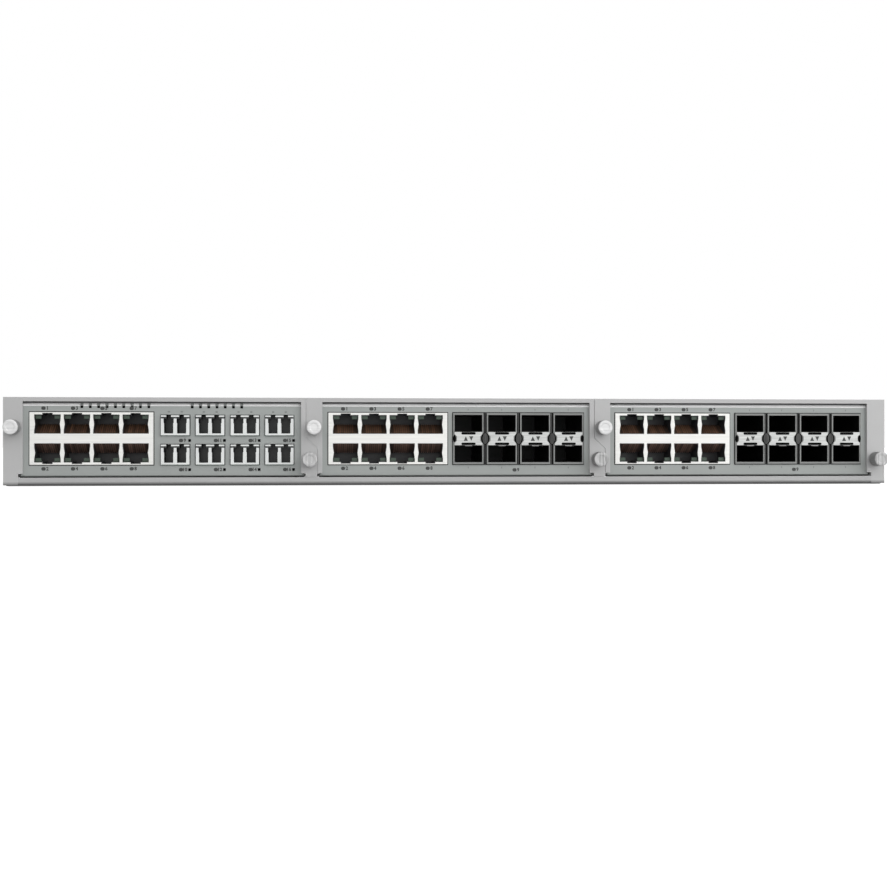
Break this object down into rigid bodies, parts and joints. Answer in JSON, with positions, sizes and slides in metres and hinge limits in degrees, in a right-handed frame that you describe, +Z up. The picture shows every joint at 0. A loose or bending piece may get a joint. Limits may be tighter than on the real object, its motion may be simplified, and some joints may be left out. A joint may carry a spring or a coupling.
{
  "type": "modular network switch",
  "caption": "Slim rack-width network unit with plug-in modules: stacked copper jacks, fibre receptacles and transceiver cages behind light panels held by thumbscrews.",
  "frame": {"origin": "middle of the whole unit's underside, knobs and power inlet included in its depth", "axes": "+X to the right seen from the front, +Y to the rear (the ports face -Y), +Z up"},
  "size_m": [0.4402, 0.2782, 0.043],
  "materials": {
    "chassis_paint": "satin grey paint",
    "panel_paint": "satin light grey paint",
    "port_plate_paint": "satin mid grey paint",
    "zinc_sheet": "zinc plated sheet",
    "bare_metal": "plated",
    "knob_metal": "turned and plated",
    "shield_metal": "bright tin plate",
    "cage_metal": "plated sheet, dark inside",
    "black_plastic": "moulded",
    "socket_plastic": "moulded",
    "contact_plastic": "moulded, gilt contacts",
    "fibre_plastic": "moulded",
    "light_pipe": "clear moulding, unlit",
    "circuit_board": "green solder resist"
  },
  "bodies": {
    "chassis": {"base_tray": "chassis_paint", "top_cover": "chassis_paint", "front_posts": "bare_metal", "divider_left": "zinc_sheet", "divider_right": "zinc_sheet", "card_guides": "black_plastic", "backplane": "circuit_board", "backplane_sockets": "socket_plastic", "power_supply": "zinc_sheet", "power_inlet": "black_plastic", "fan_frame": "black_plastic"},
    "module_1": {"front_panel_1": "panel_paint", "module_tray_1": "port_plate_paint", "module_board_1": "circuit_board", "module_plug_1": "socket_plastic", "jack_shield_1": "shield_metal", "jack_housing_1": "black_plastic", "jack_inserts_1": "contact_plastic", "fibre_receptacles_1": "fibre_plastic", "upper_board_1": "circuit_board", "upper_board_posts_1": "bare_metal", "status_lights_1": "light_pipe"},
    "module_2": {"front_panel_2": "panel_paint", "module_tray_2": "port_plate_paint", "module_board_2": "circuit_board", "module_plug_2": "socket_plastic", "jack_shield_2": "shield_metal", "jack_housing_2": "black_plastic", "jack_inserts_2": "contact_plastic", "cage_block_2": "cage_metal", "cage_plates_2": "shield_metal"},
    "module_3": {"front_panel_3": "panel_paint", "module_tray_3": "port_plate_paint", "module_board_3": "circuit_board", "module_plug_3": "socket_plastic", "jack_shield_3": "shield_metal", "jack_housing_3": "black_plastic", "jack_inserts_3": "contact_plastic", "cage_block_3": "cage_metal", "cage_plates_3": "shield_metal"},
    "thumbscrew_upper_1": {"thumbscrew_upper_1": "knob_metal"},
    "thumbscrew_lower_1": {"thumbscrew_lower_1": "knob_metal"},
    "thumbscrew_upper_2": {"thumbscrew_upper_2": "knob_metal"},
    "thumbscrew_lower_2": {"thumbscrew_lower_2": "knob_metal"},
    "thumbscrew_upper_3": {"thumbscrew_upper_3": "knob_metal"},
    "thumbscrew_lower_3": {"thumbscrew_lower_3": "knob_metal"},
    "fan_rotor": {"fan_rotor": "black_plastic"}
  },
  "joints": [
    {"name": "module_1_slide", "type": "slide", "parent": "chassis", "child": "module_1", "axis": [0, -1, 0], "range_m": [0, 0.15]},
    {"name": "module_2_slide", "type": "slide", "parent": "chassis", "child": "module_2", "axis": [0, -1, 0], "range_m": [0, 0.15]},
    {"name": "module_3_slide", "type": "slide", "parent": "chassis", "child": "module_3", "axis": [0, -1, 0], "range_m": [0, 0.15]},
    {"name": "thumbscrew_upper_1_turn", "type": "hinge", "parent": "module_1", "child": "thumbscrew_upper_1", "pos_m": [-0.21507, -0.1303, 0.0285], "axis": [0, -1, 0], "range_deg": [0, 2160]},
    {"name": "thumbscrew_lower_1_turn", "type": "hinge", "parent": "module_1", "child": "thumbscrew_lower_1", "pos_m": [-0.07303, -0.1303, 0.0128], "axis": [0, -1, 0], "range_deg": [0, 2160]},
    {"name": "thumbscrew_upper_2_turn", "type": "hinge", "parent": "module_2", "child": "thumbscrew_upper_2", "pos_m": [-0.07103, -0.1303, 0.0285], "axis": [0, -1, 0], "range_deg": [0, 2160]},
    {"name": "thumbscrew_lower_2_turn", "type": "hinge", "parent": "module_2", "child": "thumbscrew_lower_2", "pos_m": [0.07103, -0.1303, 0.0128], "axis": [0, -1, 0], "range_deg": [0, 2160]},
    {"name": "thumbscrew_upper_3_turn", "type": "hinge", "parent": "module_3", "child": "thumbscrew_upper_3", "pos_m": [0.07303, -0.1303, 0.0285], "axis": [0, -1, 0], "range_deg": [0, 2160]},
    {"name": "thumbscrew_lower_3_turn", "type": "hinge", "parent": "module_3", "child": "thumbscrew_lower_3", "pos_m": [0.21507, -0.1303, 0.0128], "axis": [0, -1, 0], "range_deg": [0, 2160]},
    {"name": "fan_spin", "type": "hinge", "parent": "chassis", "child": "fan_rotor", "pos_m": [0.09, 0.1269, 0.02162], "axis": [0, 1, 0], "continuous": true}
  ]
}
